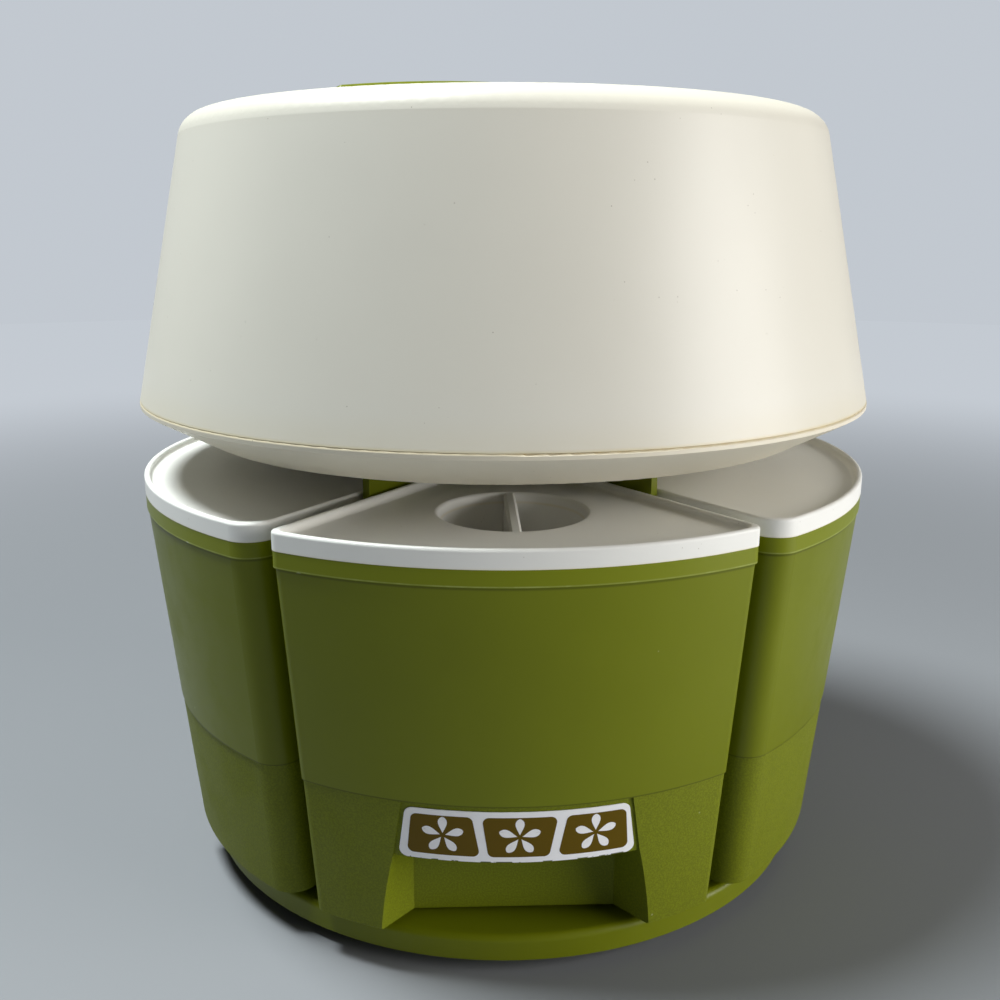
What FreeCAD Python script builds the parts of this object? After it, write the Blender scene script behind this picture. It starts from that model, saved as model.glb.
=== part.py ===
import FreeCAD, Part

import math
import os

import Sketcher

# A round canister carousel with a covered cake tray on top, in millimetres.
# The origin is on the floor, on the axis of the turntable. +Z is up and the front canister
# faces -Y. A fixed foot carries a turntable on a ring of balls. Four lidded canisters stand on
# the turntable, in the bays of an upright divider, and the divider carries the tray and cover.

V = FreeCAD.Vector
doc = FreeCAD.newDocument("canister_carousel")

DRIVING_SIZES = [
    # foot and bearing
    ("foot_inset", 12.5, "gap from the turntable's rim wall in to the foot"),
    ("foot_plate", 2.5, "thickness of the foot's plate"),
    ("foot_lift", 1.5, "height of the foot's plate above the floor"),
    ("foot_wall", 2.4, "thickness of the foot's upstanding rim"),
    ("foot_rim_height", 5.0, "rise of the foot's rim above its plate"),
    ("pad_radius", 8.0, "radius of a rubber pad"),
    ("pad_sink", 1.0, "depth of a pad's seat in the foot"),
    ("pad_circle", 100.0, "radius of the circle of pads"),
    ("pad_count", 5, "number of pads"),
    ("race_circle", 90.0, "radius of the ring of balls"),
    ("race_width", 12.0, "width of a steel race"),
    ("race_thickness", 2.75, "thickness of a steel race"),
    ("race_spacing", 3.0, "gap between the two races"),
    ("race_rib", 2.0, "thickness of the ribs beside a race"),
    ("race_rib_height", 2.0, "height of the ribs beside a race"),
    ("race_gap", 0.2, "gap between a race and its ribs"),
    ("ball_radius", 2.5, "radius of a bearing ball"),
    ("ball_gap", 0.1, "running gap round a ball"),
    ("ball_count", 20, "number of balls"),
    ("cage_width", 8.0, "width of the ball cage"),
    ("cage_thickness", 1.6, "thickness of the ball cage"),
    ("bolt_radius", 3.0, "radius of the pivot bolt"),
    ("bolt_gap", 0.1, "running gap round the pivot bolt"),
    ("bolt_head_radius", 6.5, "radius of the pivot bolt's head"),
    ("bolt_head_height", 3.0, "height of the pivot bolt's head"),
    ("bolt_head_gap", 1.5, "gap round the bolt's head"),
    ("bolt_head_lift", 0.4, "height of the bolt's head above the foot's underside"),
    ("bolt_end", 1.5, "length of the pivot bolt beyond its nut"),
    ("hub_wall", 8.0, "wall of the foot's hub round the bolt"),
    ("hub_floor", 4.0, "thickness of the foot's hub above the bolt's head"),
    ("hub_gap", 0.2, "gap between the foot's hub and the turntable's"),
    ("washer_radius", 8.5, "outer radius of the pivot washer"),
    ("washer_thickness", 1.5, "thickness of the pivot washer"),
    ("washer_gap", 0.1, "gap between the washer and the turntable"),
    ("nut_flats", 10.0, "width across the pivot nut's flats"),
    ("nut_height", 5.5, "height of the pivot nut"),
    # turntable
    ("table_inset", 19.0, "how much less the turntable's radius is than the rim bands'"),
    ("table_bottom", 5.4, "height of the turntable's lower edge"),
    ("table_thickness", 2.5, "thickness of the turntable's deck"),
    ("table_rim", 2.5, "thickness of the turntable's rim wall"),
    ("table_round", 2.6, "rounding of the turntable's upper edge"),
    ("table_hub_radius", 11.0, "outer radius of the turntable's hub"),
    # divider
    ("divider_thickness", 3.0, "thickness of a divider fin"),
    ("divider_reach", 96.0, "distance of a fin's outer edge from the axis"),
    ("lid_room", 14.3, "gap between the lids and the tray on the divider"),
    ("divider_bore", 10.5, "inner radius of the divider's hub"),
    ("divider_hub_wall", 2.5, "wall of the divider's hub"),
    ("boss_radius", 3.6, "radius of a screw boss on a fin"),
    ("boss_height", 16.0, "height of a screw boss"),
    ("boss_circle", 62.0, "radius of the circle of screw bosses"),
    ("screw_radius", 1.6, "radius of a divider screw"),
    ("screw_length", 12.0, "length of a divider screw under its head"),
    ("screw_head_radius", 3.2, "radius of a divider screw's head"),
    ("screw_head_height", 2.0, "height of a divider screw's head"),
    ("screw_gap", 0.2, "gap round a screw in the piece that it clamps"),
    # canisters
    ("pitch_angle", 34.0, "angle from the front canister's middle to the fin beside it"),
    ("rim_radius", 152.0, "outer radius of a canister's rim band"),
    ("rim_gap", 3.6, "distance from a rim band's side to the fin's middle plane"),
    ("rim_height", 5.9, "height of the rim band"),
    ("rim_step", 0.5, "step from the rim band in to the wall"),
    ("base_inset", 12.1, "how much less the wall's radius is at the bottom than at the top"),
    ("side_inset", 0.2, "how much a canister's side draws in from top to bottom"),
    ("lower_step", 0.35, "step at the line above the grained lower zone"),
    ("lower_height", 56.2, "height of the grained lower zone"),
    ("canister_height", 142.3, "height of a canister, from its bottom to its rim"),
    ("canister_foot", 2.3, "height of a canister's moulded feet"),
    ("canister_foot_radius", 5.0, "radius of a canister's moulded foot"),
    ("inner_foot_circle", 49.0, "distance of a canister's inner feet from the axis"),
    ("outer_foot_circle", 122.0, "distance of a canister's outer feet from the axis"),
    ("canister_wall", 2.2, "wall of a canister"),
    ("canister_floor", 2.4, "floor of a canister"),
    ("bottom_round", 0.7, "rounding of a canister's bottom edge, as a chamfer"),
    ("narrow_nose", 30.0, "distance of a narrow canister's inner end from the axis"),
    ("wide_nose", 24.0, "distance of a wide canister's inner end from the axis"),
    ("narrow_corner", 3.8, "radius of a narrow canister's outer corners"),
    ("wide_corner", 10.0, "radius of a wide canister's outer corners"),
    ("nose_corner", 6.0, "radius of every canister's inner corners"),
    # finger pull and label
    ("pull_height", 33.4, "height of the finger pull"),
    ("pull_foot_half", 48.8, "half width of the finger pull at the bottom, in front"),
    ("pull_head_half", 43.2, "half width of the finger pull at its top, in front"),
    ("pull_back_half", 37.0, "half width of the finger pull's back wall"),
    ("pull_depth", 34.0, "distance of the finger pull's back wall in from the rim band"),
    ("panel_depth", 0.8, "depth of the panel behind the label"),
    ("panel_top_half", 39.6, "half width of the panel at its upper edge"),
    ("panel_reach", 20.0, "half angle of the thicker wall behind the panel"),
    ("panel_backing", 0.4, "extra wall thickness behind the panel"),
    ("label_top_half", 38.4, "half width of the label's upper edge"),
    ("label_foot_half", 41.2, "half width of the label's lower edge"),
    ("label_height", 20.2, "height of the label"),
    ("label_thickness", 0.3, "thickness of the label"),
    ("label_glue", 0.1, "thickness of the glue behind the label"),
    ("label_margin", 2.2, "gap from the panel's upper edge down to the label"),
    ("label_corner", 3.0, "radius of the label's corners"),
    # lids
    ("lid_outset", 0.1, "how far a lid stands out beyond the rim band"),
    ("lid_height", 6.7, "height of a lid's skirt"),
    ("lid_wall", 2.4, "thickness of a lid's raised rim"),
    ("lid_dish", 3.0, "depth of a lid's panel below its rim"),
    ("lid_panel", 2.0, "thickness of a lid's panel"),
    ("lid_round", 1.1, "rounding of a lid's upper edge"),
    ("dish_round", 1.7, "rounding between a lid's panel and its rim"),
    ("plug_gap", 0.4, "gap between a lid's plug and the canister's wall"),
    ("plug_wall", 1.8, "wall of a lid's plug"),
    ("plug_depth", 6.0, "depth of a lid's plug below the rim"),
    ("narrow_cup_circle", 94.0, "distance of a narrow lid's grip cup from the axis"),
    ("wide_cup_circle", 77.0, "distance of a wide lid's grip cup from the axis"),
    ("cup_radius", 27.0, "radius of the grip cup at its mouth"),
    ("cup_floor_radius", 23.0, "radius of the grip cup's floor"),
    ("cup_depth", 18.0, "depth of the grip cup"),
    ("cup_round", 1.4, "rounding of the grip cup's mouth"),
    ("grip_head_half", 2.1, "half thickness of the grip bar below its bevelled crest"),
    ("grip_foot_half", 2.7, "half thickness of the grip bar at its foot"),
    ("grip_bevel", 0.9, "bevel along the grip bar's crest"),
    ("grip_drop", 0.3, "how far the grip bar's top is below the panel"),
    # tray
    ("tray_lip", 0.2, "how far the tray's lip stands out beyond the cover"),
    ("tray_lip_step", 1.7, "how far the tray's lip stands out beyond its sloping wall"),
    ("tray_flare", 22.3, "how far the tray's sloping wall leads outward"),
    ("tray_flare_height", 12.2, "height of the tray's sloping wall"),
    ("tray_height", 15.4, "height of the tray's lip above its underside"),
    ("tray_wall", 2.5, "wall of the tray"),
    ("tray_foot_round", 3.0, "rounding of the tray's lower edge"),
    ("tray_lip_round", 0.9, "rounding of the tray's lip under the cover"),
    ("peg_depth", 8.0, "depth of the tray's peg inside the divider's hub"),
    ("peg_gap", 0.4, "gap between the peg and the divider's hub"),
    ("peg_fit", 0.1, "gap between the peg and its hole in the tray"),
    ("peg_head", 2.9, "how far the peg's head laps over the tray round its hole"),
    ("peg_head_height", 1.0, "height of the peg's head on the tray"),
    ("peg_round", 1.5, "rounding of the peg's lower edge"),
    ("tray_upstand", 5.0, "height of the upstand inside the cover"),
    ("tray_upstand_wall", 1.9, "wall of the upstand inside the cover"),
    ("tray_fit", 0.6, "gap between the upstand and the cover"),
    ("plate_ring_inset", 15.4, "distance of the plate's raised ring in from the tray's lower edge"),
    ("plate_ring_width", 2.4, "width of the raised ring on the plate"),
    ("plate_ring_height", 1.0, "height of the raised ring on the plate"),
    # cover and handle
    ("cover_inset", 0.8, "how much less the cover's radius is than the rim bands'"),
    ("cover_draft", 23.1, "how much the cover draws in from its lower edge to its shoulder"),
    ("cover_height", 108.1, "height of the cover's shoulder above its lower edge"),
    ("cover_crown", 1.2, "rise of the cover's top from the shoulder to the well"),
    ("cover_wall", 2.2, "wall of the cover"),
    ("cover_shoulder", 10.6, "rounding of the cover's shoulder"),
    ("cover_top_width", 31.1, "width of the ring between the cover's shoulder and its well"),
    ("well_draft", 6.0, "how much the well's wall draws in from its mouth to its floor"),
    ("well_depth", 11.3, "depth of the well"),
    ("well_round", 3.0, "rounding of the well's edges"),
    ("handle_room", 11.0, "gap from the handle's ends to the foot of the well's wall"),
    ("handle_foot", 21.0, "length of each foot of the handle"),
    ("handle_width", 20.0, "width of the handle"),
    ("handle_height", 24.7, "height of the handle at its middle"),
    ("handle_arch", 600.0, "radius of the arch along the handle's top"),
    ("handle_bar", 8.0, "thickness of the handle's bar"),
    ("handle_slope", 9.0, "how far each end of the handle leans in"),
    ("handle_turn", 20.0, "angle of the handle from the X axis"),
    ("handle_round", 2.0, "rounding of the handle's edges"),
    ("handle_screw_radius", 2.0, "radius of a handle screw"),
    ("handle_screw_length", 15.0, "length of a handle screw under its head"),
    ("handle_screw_head", 3.9, "radius of a handle screw's head"),
    ("handle_screw_head_height", 2.6, "height of a handle screw's head"),
    ("handle_washer_radius", 6.5, "radius of a handle screw's washer"),
    ("handle_washer_thickness", 1.2, "thickness of a handle screw's washer"),
]

SHEET = "Sizes"


class Size:
    """A size that keeps both its number and the sheet expression that gives it."""

    def __init__(self, number, words):
        self.number = float(number)
        self.words = words

    @staticmethod
    def of(other):
        return other if isinstance(other, Size) else Size(other, repr(float(other)))

    def join(self, other, sign, number):
        return Size(number, "(%s %s %s)" % (self.words, sign, Size.of(other).words))

    def __add__(self, other):
        return self.join(other, "+", self.number + Size.of(other).number)

    def __sub__(self, other):
        return self.join(other, "-", self.number - Size.of(other).number)

    def __mul__(self, other):
        return self.join(other, "*", self.number * Size.of(other).number)

    def __truediv__(self, other):
        return self.join(other, "/", self.number / Size.of(other).number)

    def __radd__(self, other):
        return Size.of(other) + self

    def __rsub__(self, other):
        return Size.of(other) - self

    def __rmul__(self, other):
        return Size.of(other) * self

    def __rtruediv__(self, other):
        return Size.of(other) / self

    def __neg__(self):
        return Size(0, "0") - self


def cosine(angle):
    angle = Size.of(angle)
    return Size(math.cos(math.radians(angle.number)), "cos(%s)" % angle.words)


def sine(angle):
    angle = Size.of(angle)
    return Size(math.sin(math.radians(angle.number)), "sin(%s)" % angle.words)


def root(area):
    return Size(math.sqrt(area.number), "sqrt(%s)" % area.words)


class Sizes:
    """The driving sizes by name, also held in the document's sheet."""

    def __init__(self, rows):
        sheet = doc.addObject("Spreadsheet::Sheet", SHEET)
        for line, (name, number, meaning) in enumerate(rows, start=1):
            sheet.set("A%d" % line, name)
            sheet.set("B%d" % line, "%g" % number)
            sheet.setAlias("B%d" % line, name)
            sheet.set("C%d" % line, meaning)
            setattr(self, name, Size(number, "%s.%s" % (SHEET, name)))
        doc.recompute()


S = Sizes(DRIVING_SIZES)
NODES = []


def new_body(label):
    """An empty body whose label names its node."""
    body = doc.addObject("PartDesign::Body", label)
    body.Label = label
    NODES.append(body)
    return body


def origin_plane(body, role):
    return [item for item in body.Origin.OriginFeatures if item.Role == role][0]


def bind(item, path, size):
    item.setExpression(path, Size.of(size).words)


def new_sketch(body, name, role="XY_Plane", level=None):
    """A sketch on one of the body's own origin planes, lifted by level."""
    sketch = body.newObject("Sketcher::SketchObject", name)
    sketch.AttachmentSupport = [(origin_plane(body, role), "")]
    sketch.MapMode = "FlatFace"
    if level is not None:
        bind(sketch, "AttachmentOffset.Base.z", level)
    return sketch


def pin_point(sketch, geometry, end, place):
    """Hold a point of a sketch element at a place measured from the sketch's origin."""
    for kind, axis, size in (("DistanceX", -2, place[0]), ("DistanceY", -1, place[1])):
        size = Size.of(size)
        if size.words == "0.0":
            sketch.addConstraint(Sketcher.Constraint("PointOnObject", geometry, end, axis))
            continue
        if size.number < 0:
            rule = Sketcher.Constraint(kind, geometry, end, -1, 1, -size.number)
            size = -size
        else:
            rule = Sketcher.Constraint(kind, -1, 1, geometry, end, size.number)
        index = sketch.addConstraint(rule)
        bind(sketch, "Constraints[%d]" % index, size)


def numbers(place):
    return V(Size.of(place[0]).number, Size.of(place[1]).number, 0)


def hold_radius(sketch, element, radius):
    radius = Size.of(radius)
    index = sketch.addConstraint(Sketcher.Constraint("Radius", element, radius.number))
    bind(sketch, "Constraints[%d]" % index, radius)


def outline(sketch, corners):
    """A closed loop. Each corner is (x, y), or (x, y, radius, centre) where an arc of less
    than a half turn leads to it from the corner before."""
    elements = []
    for index, corner in enumerate(corners):
        start = numbers(corners[index - 1])
        end = numbers(corner)
        ends = (1, 2)
        if len(corner) == 2:
            shape = Part.LineSegment(start, end)
        else:
            middle = numbers(corner[3])
            if (start - middle).cross(end - middle).z < 0:
                start, end = end, start
                ends = (2, 1)
            first = math.atan2(start.y - middle.y, start.x - middle.x)
            last = math.atan2(end.y - middle.y, end.x - middle.x)
            if last < first:
                last += 2 * math.pi
            circle = Part.Circle(middle, V(0, 0, 1), Size.of(corner[2]).number)
            shape = Part.ArcOfCircle(circle, first, last)
        elements.append((sketch.addGeometry(shape, False),) + ends)
    for index, (element, first_end, last_end) in enumerate(elements):
        before, before_first, before_last = elements[index - 1]
        join = Sketcher.Constraint("Coincident", before, before_last, element, first_end)
        sketch.addConstraint(join)
    for (element, first_end, last_end), corner in zip(elements, corners):
        pin_point(sketch, element, last_end, corner)
        if len(corner) > 2:
            hold_radius(sketch, element, corner[2])
    return sketch


def ring_outline(sketch, place, radius):
    """A circle in a sketch, round a place measured from the sketch's origin."""
    circle = Part.Circle(numbers(place), V(0, 0, 1), Size.of(radius).number)
    element = sketch.addGeometry(circle, False)
    pin_point(sketch, element, 3, place)
    hold_radius(sketch, element, radius)
    return sketch


def checked(feature, adds):
    """Recompute, and make sure that a feature changed the volume the way it should."""
    body = feature.getParentGeoFeatureGroup()
    before = getattr(feature.BaseFeature, "Shape", None)
    doc.recompute()
    old = before.Volume if before is not None and not before.isNull() else 0.0
    change = feature.Shape.Volume - old
    if (change <= 0) if adds else (change >= 0):
        raise RuntimeError("%s of %s changed the volume by %g" % (feature.Name, body.Label, change))
    return feature


def turn_profile(body, name, corners, cut=False, angle=None):
    """A profile in the XZ plane turned round the Z axis, all the way or by an angle."""
    sketch = outline(new_sketch(body, name + "_profile", "XZ_Plane"), corners)
    kind = "PartDesign::Groove" if cut else "PartDesign::Revolution"
    feature = body.newObject(kind, name)
    feature.Profile = sketch
    feature.ReferenceAxis = (sketch, ["V_Axis"])
    if angle is None:
        feature.Angle = 360
    else:
        bind(feature, "Angle", angle)
        feature.Midplane = True
    return checked(feature, not cut)


def raise_outline(body, name, sketch, height, cut=False, reverse=False, midplane=False):
    """A pad or pocket of a sketch by a height."""
    feature = body.newObject("PartDesign::Pocket" if cut else "PartDesign::Pad", name)
    feature.Profile = sketch
    bind(feature, "Length", height)
    feature.Reversed = reverse
    feature.Midplane = midplane
    return checked(feature, not cut)


def loft_between(body, name, lower, upper, cut=False):
    """A straight loft between two sketches, added or cut."""
    kind = "PartDesign::SubtractiveLoft" if cut else "PartDesign::AdditiveLoft"
    feature = body.newObject(kind, name)
    feature.Profile = lower
    feature.Sections = [upper]
    feature.Ruled = True
    return checked(feature, not cut)


def repeat_round(body, name, feature, count):
    """A feature repeated evenly round the Z axis."""
    pattern = body.newObject("PartDesign::PolarPattern", name)
    pattern.Originals = [feature]
    pattern.Axis = (origin_plane(body, "Z_Axis"), [""])
    pattern.Angle = 360
    bind(pattern, "Occurrences", count)
    body.Tip = pattern
    doc.recompute()
    return pattern


def circles_at(shape, radius, level):
    """Names of the circular edges round the Z axis with this radius at this height."""
    names = []
    for index, edge in enumerate(shape.Edges, start=1):
        curve = edge.Curve
        if not isinstance(curve, Part.Circle):
            continue
        middle = curve.Center
        on_axis = math.hypot(middle.x, middle.y) < 0.001
        if on_axis and abs(curve.Radius - radius.number) < 0.01 and abs(middle.z - level.number) < 0.01:
            names.append("Edge%d" % index)
    return names


def edges_at(shape, level):
    """Names of the edges that lie wholly at this height."""
    return ["Edge%d" % index for index, edge in enumerate(shape.Edges, start=1)
            if all(abs(point.Z - level.number) < 0.001 for point in edge.Vertexes)]


def is_circle(edge, radius):
    """Whether an edge lies on a circle of this radius."""
    curve = edge.Curve
    return curve.TypeId == "Part::GeomCircle" and abs(curve.Radius - radius.number) < 0.001


def round_edges(body, name, names, radius):
    """Round the named edges of the body's last feature."""
    base = body.Tip
    feature = body.newObject("PartDesign::Fillet", name)
    feature.Base = (base, names)
    bind(feature, "Radius", radius)
    doc.recompute()
    return feature


def rounded(before, corner, after, radius):
    """The two entries for an outline that round off one corner between its neighbours."""
    ways = []
    for place in (before, after):
        step_x = Size.of(place[0]) - corner[0]
        step_y = Size.of(place[1]) - corner[1]
        length = root(step_x * step_x + step_y * step_y)
        ways.append((step_x / length, step_y / length))
    (first_x, first_y), (last_x, last_y) = ways
    cos_turn = first_x * last_x + first_y * last_y
    back = radius * root((1.0 + cos_turn) / (1.0 - cos_turn))
    inward = back / (1.0 + cos_turn)
    middle = (corner[0] + (first_x + last_x) * inward, corner[1] + (first_y + last_y) * inward)
    return [(corner[0] + first_x * back, corner[1] + first_y * back),
            (corner[0] + last_x * back, corner[1] + last_y * back, radius, middle)]


def face_outward(body, angle):
    """Turn a piece that was drawn facing +X about the Z axis."""
    body.Placement = FreeCAD.Placement(V(0, 0, 0), FreeCAD.Rotation(V(0, 0, 1), angle))


# Heights that follow from the driving sizes
foot_top = S.foot_lift + S.foot_plate
lower_race_top = foot_top + S.race_thickness
ball_level = lower_race_top + S.race_spacing / 2
upper_race_bottom = lower_race_top + S.race_spacing
deck_bottom = upper_race_bottom + S.race_thickness
deck_top = deck_bottom + S.table_thickness
head_bottom = S.foot_lift + S.bolt_head_lift
head_top = head_bottom + S.bolt_head_height
foot_hub_top = head_top + S.hub_floor
washer_bottom = deck_top + S.washer_gap
washer_top = washer_bottom + S.washer_thickness
canister_bottom = deck_top + S.canister_foot
band_bottom = canister_bottom + S.canister_height - S.rim_height
rim_level = canister_bottom + S.canister_height
lower_level = canister_bottom + S.lower_height
divider_top = rim_level + S.lid_height + S.lid_room
seat_level = divider_top + S.tray_height
shoulder_level = seat_level + S.cover_height
well_mouth_level = shoulder_level + S.cover_crown
well_floor_level = well_mouth_level - S.well_depth
ceiling_level = well_floor_level - S.cover_wall

# Radii that follow from the driving sizes
table_radius = S.rim_radius - S.table_inset
foot_radius = table_radius - S.table_rim - S.foot_inset
pull_back = S.rim_radius - S.pull_depth
cover_radius = S.rim_radius - S.cover_inset
cover_top_radius = cover_radius - S.cover_draft
tray_radius = cover_radius + S.tray_lip
tray_flare_radius = tray_radius - S.tray_lip_step
tray_foot_radius = tray_flare_radius - S.tray_flare
plate_ring_radius = tray_foot_radius - S.plate_ring_inset
well_radius = cover_top_radius - S.cover_top_width
well_floor_radius = well_radius - S.well_draft
handle_half = well_floor_radius - S.handle_room
handle_screw_half = handle_half - S.handle_foot / 2
groove_radius = S.ball_radius + S.ball_gap
groove_half = root(groove_radius * groove_radius - S.race_spacing * S.race_spacing / 4)
race_in = S.race_circle - S.race_width / 2
race_out = S.race_circle + S.race_width / 2
rib_in = race_in - S.race_gap
rib_out = race_out + S.race_gap


def fin_places(distance):
    """The four places at this distance from the axis on the fins' middle planes."""
    across = distance * sine(S.pitch_angle)
    along = distance * cosine(S.pitch_angle)
    return [(across, along), (-across, along), (-across, -along), (across, -along)]


def make_foot_base():
    body = new_body("foot_base")
    recess = S.bolt_head_radius + S.bolt_head_gap
    hub = S.bolt_radius + S.hub_wall
    rim_top = foot_top + S.foot_rim_height
    rib_top = foot_top + S.race_rib_height
    turn_profile(body, "foot_dish", [
        (S.bolt_radius, head_top), (recess, head_top), (recess, S.foot_lift),
        (foot_radius, S.foot_lift), (foot_radius, rim_top),
        (foot_radius - S.foot_wall, rim_top), (foot_radius - S.foot_wall, foot_top),
        (rib_out + S.race_rib, foot_top), (rib_out + S.race_rib, rib_top),
        (rib_out, rib_top), (rib_out, foot_top),
        (rib_in, foot_top), (rib_in, rib_top),
        (rib_in - S.race_rib, rib_top), (rib_in - S.race_rib, foot_top),
        (hub, foot_top), (hub, foot_hub_top), (S.bolt_radius, foot_hub_top)])
    seat = ring_outline(new_sketch(body, "pad_seat_circle", level=S.foot_lift),
                        (S.pad_circle, 0.0), S.pad_radius)
    pocket = raise_outline(body, "pad_seat", seat, S.pad_sink, cut=True, reverse=True)
    repeat_round(body, "pad_seats", pocket, S.pad_count)


def new_group(label, members):
    """Identical small pieces that share one node."""
    group = doc.addObject("Part::Compound", label)
    group.Label = label
    group.Links = members
    NODES.append(group)
    return group


def new_cylinder(name, radius, height, across, along, level):
    """An upright cylinder whose lower end stands at a place and level."""
    piece = doc.addObject("Part::Cylinder", name)
    bind(piece, "Radius", radius)
    bind(piece, "Height", height)
    bind(piece, "Placement.Base.x", across)
    bind(piece, "Placement.Base.y", along)
    bind(piece, "Placement.Base.z", level)
    return piece


def round_places(distance, count):
    """Places spaced evenly round the axis, the first on +X."""
    places = []
    for index in range(int(count.number)):
        angle = 360.0 * index / count
        places.append((distance * cosine(angle), distance * sine(angle)))
    return places


def make_foot_pads():
    height = S.foot_lift + S.pad_sink
    pads = []
    for index, (across, along) in enumerate(round_places(S.pad_circle, S.pad_count)):
        pads.append(new_cylinder("pad%d" % index, S.pad_radius, height, across, along, 0.0))
    new_group("foot_pads", pads)


def make_races():
    lower = new_body("lower_race")
    turn_profile(lower, "lower_ring", [
        (race_in, foot_top), (race_out, foot_top), (race_out, lower_race_top),
        (S.race_circle + groove_half, lower_race_top),
        (S.race_circle - groove_half, lower_race_top, groove_radius, (S.race_circle, ball_level)),
        (race_in, lower_race_top)])
    upper = new_body("upper_race")
    turn_profile(upper, "upper_ring", [
        (race_in, upper_race_bottom), (S.race_circle - groove_half, upper_race_bottom),
        (S.race_circle + groove_half, upper_race_bottom, groove_radius,
         (S.race_circle, ball_level)),
        (race_out, upper_race_bottom), (race_out, deck_bottom), (race_in, deck_bottom)])


def make_ball_cage():
    body = new_body("ball_cage")
    inner = S.race_circle - S.cage_width / 2
    outer = S.race_circle + S.cage_width / 2
    low = ball_level - S.cage_thickness / 2
    high = ball_level + S.cage_thickness / 2
    turn_profile(body, "cage_ring", [(inner, low), (outer, low), (outer, high), (inner, high)])
    hole = ring_outline(new_sketch(body, "ball_hole_circle", level=ball_level),
                        (S.race_circle, 0.0), groove_radius)
    pocket = raise_outline(body, "ball_hole", hole, S.cage_thickness * 2, cut=True, midplane=True)
    repeat_round(body, "ball_holes", pocket, S.ball_count)


def make_bearing_balls():
    balls = []
    for index, (across, along) in enumerate(round_places(S.race_circle, S.ball_count)):
        ball = doc.addObject("Part::Sphere", "ball%d" % index)
        bind(ball, "Radius", S.ball_radius)
        bind(ball, "Placement.Base.x", across)
        bind(ball, "Placement.Base.y", along)
        bind(ball, "Placement.Base.z", ball_level)
        balls.append(ball)
    new_group("bearing_balls", balls)


def make_pivot():
    """The bolt that holds the turntable down on its foot, with its washer and nut."""
    nut_top = washer_top + S.nut_height
    end = nut_top + S.bolt_end
    bevel = S.bolt_head_height / 3
    turn_profile(new_body("pivot_bolt"), "bolt", [
        (0.0, head_bottom), (S.bolt_head_radius - bevel, head_bottom),
        (S.bolt_head_radius, head_bottom + bevel), (S.bolt_head_radius, head_top),
        (S.bolt_radius, head_top), (S.bolt_radius, end - bevel / 2),
        (S.bolt_radius - bevel / 2, end), (0.0, end)])
    turn_profile(new_body("pivot_washer"), "washer", [
        (S.bolt_radius, washer_bottom), (S.washer_radius, washer_bottom),
        (S.washer_radius, washer_top), (S.bolt_radius, washer_top)])
    nut = new_body("pivot_nut")
    corner = S.nut_flats / 2 / cosine(30.0)
    sketch = new_sketch(nut, "hexagon", level=washer_top)
    angles = [30.0 + 60.0 * index for index in range(6)]
    outline(sketch, [(corner * cosine(angle), corner * sine(angle)) for angle in angles])
    ring_outline(sketch, (0.0, 0.0), S.bolt_radius)
    raise_outline(nut, "hexagon_pad", sketch, S.nut_height)


def make_turntable():
    body = new_body("turntable")
    bore = S.bolt_radius + S.bolt_gap
    hub_bottom = foot_hub_top + S.hub_gap
    rib_bottom = deck_bottom - S.race_rib_height
    inside = table_radius - S.table_rim
    turn_profile(body, "deck_profile", [
        (bore, hub_bottom), (S.table_hub_radius, hub_bottom), (S.table_hub_radius, deck_bottom),
        (rib_in - S.race_rib, deck_bottom), (rib_in - S.race_rib, rib_bottom),
        (rib_in, rib_bottom), (rib_in, deck_bottom),
        (rib_out, deck_bottom), (rib_out, rib_bottom),
        (rib_out + S.race_rib, rib_bottom), (rib_out + S.race_rib, deck_bottom),
        (inside, deck_bottom), (inside, S.table_bottom), (table_radius, S.table_bottom),
        (table_radius, deck_top - S.table_round),
        (table_radius - S.table_round, deck_top, S.table_round,
         (table_radius - S.table_round, deck_top - S.table_round)),
        (bore, deck_top)])
    holes = new_sketch(body, "screw_hole_circles", level=deck_top)
    for place in fin_places(S.boss_circle):
        ring_outline(holes, place, S.screw_radius + S.screw_gap)
    raise_outline(body, "screw_holes", holes, S.table_thickness * 2, cut=True)


def make_divider():
    """A hub with four upright fins, which part the canisters and carry the tray."""
    body = new_body("divider")
    hub = S.divider_bore + S.divider_hub_wall
    turn_profile(body, "hub_ring", [
        (S.divider_bore, deck_top), (hub, deck_top), (hub, divider_top),
        (S.divider_bore, divider_top)])
    start = S.divider_bore + S.divider_hub_wall / 2
    half = S.divider_thickness / 2
    fins = new_sketch(body, "fin_outlines", level=deck_top)
    for (in_x, in_y), (out_x, out_y) in zip(fin_places(start), fin_places(S.divider_reach)):
        side = (in_x.number * in_y.number > 0) * 2.0 - 1.0
        step_x = half * cosine(S.pitch_angle)
        step_y = half * sine(S.pitch_angle) * (-side)
        outline(fins, [(in_x - step_x, in_y - step_y), (out_x - step_x, out_y - step_y),
                       (out_x + step_x, out_y + step_y), (in_x + step_x, in_y + step_y)])
    raise_outline(body, "fins", fins, divider_top - deck_top)
    bosses = new_sketch(body, "boss_circles", level=deck_top)
    holes = new_sketch(body, "boss_hole_circles", level=deck_top)
    for place in fin_places(S.boss_circle):
        ring_outline(bosses, place, S.boss_radius)
        ring_outline(holes, place, S.screw_radius)
    raise_outline(body, "bosses", bosses, S.boss_height)
    depth = S.screw_length - S.table_thickness
    raise_outline(body, "boss_holes", holes, depth, cut=True, reverse=True)


def new_screw(name, sizes, across, along, seat):
    """A pan head screw under its seat: shank and head are two cylinders made one."""
    radius, length, head_radius, head_height = sizes
    shank = new_cylinder(name + "_shank", radius, length, across, along, seat)
    head = new_cylinder(name + "_head", head_radius, head_height, across, along,
                        seat - head_height)
    screw = doc.addObject("Part::Fuse", name)
    screw.Base = shank
    screw.Tool = head
    return screw


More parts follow.
